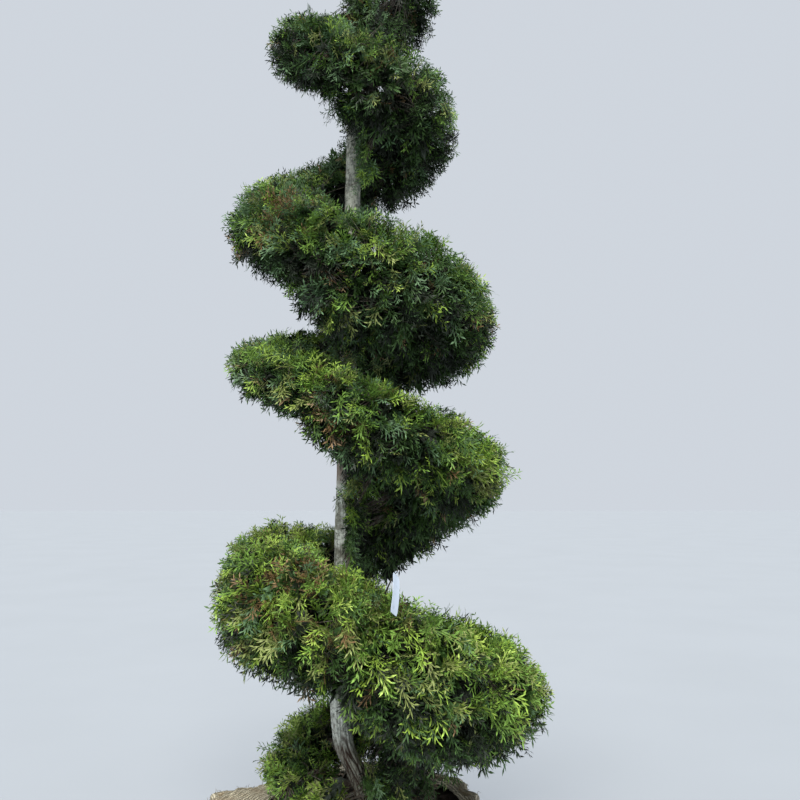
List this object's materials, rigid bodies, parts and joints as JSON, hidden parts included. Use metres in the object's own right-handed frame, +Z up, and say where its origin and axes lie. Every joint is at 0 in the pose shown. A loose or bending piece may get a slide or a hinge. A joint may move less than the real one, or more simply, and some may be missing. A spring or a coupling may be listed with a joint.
{
  "type": "spiral topiary evergreen on a root ball",
  "caption": "Clipped evergreen shrub whose foliage winds round one bare trunk in a tapering spiral, standing on a burlap-wrapped root ball.",
  "frame": {"origin": "centre of the flat underside of the root ball", "axes": "+Z up along the trunk, -Y to the front as the picture shows it, +X to its right"},
  "size_m": [1.1623, 1.0551, 4.32],
  "materials": {
    "burlap": "coarse woven jute cloth, cream to tan, dull",
    "soil": null,
    "bark": "grey fibrous bark, fissured and darker at the foot",
    "foliage": "flat scale-leaf sprays, mid to deep green with bronze and yellow-green tips",
    "young_foliage": "flat scale-leaf sprays, lighter yellow-green"
  },
  "bodies": {
    "root": {"burlap_wrap": "burlap", "root_ball_soil": "soil", "trunk": "bark", "foliage_01": "foliage", "foliage_02": "foliage", "foliage_03": "foliage", "foliage_04": "foliage", "foliage_05": "foliage", "foliage_06": "foliage", "foliage_07": "foliage", "foliage_08": "foliage", "foliage_09": "foliage", "foliage_10": "foliage", "foliage_11": "foliage", "foliage_12": "foliage", "foliage_13": "foliage", "foliage_14": "foliage", "foliage_15": "foliage", "foliage_16": "foliage", "foliage_17": "foliage", "foliage_18": "foliage", "foliage_19": "foliage", "foliage_20": "foliage", "foliage_21": "foliage", "foliage_22": "foliage", "foliage_23": "foliage", "foliage_24": "foliage", "foliage_25": "foliage", "foliage_tip": "young_foliage"}
  },
  "joints": []
}
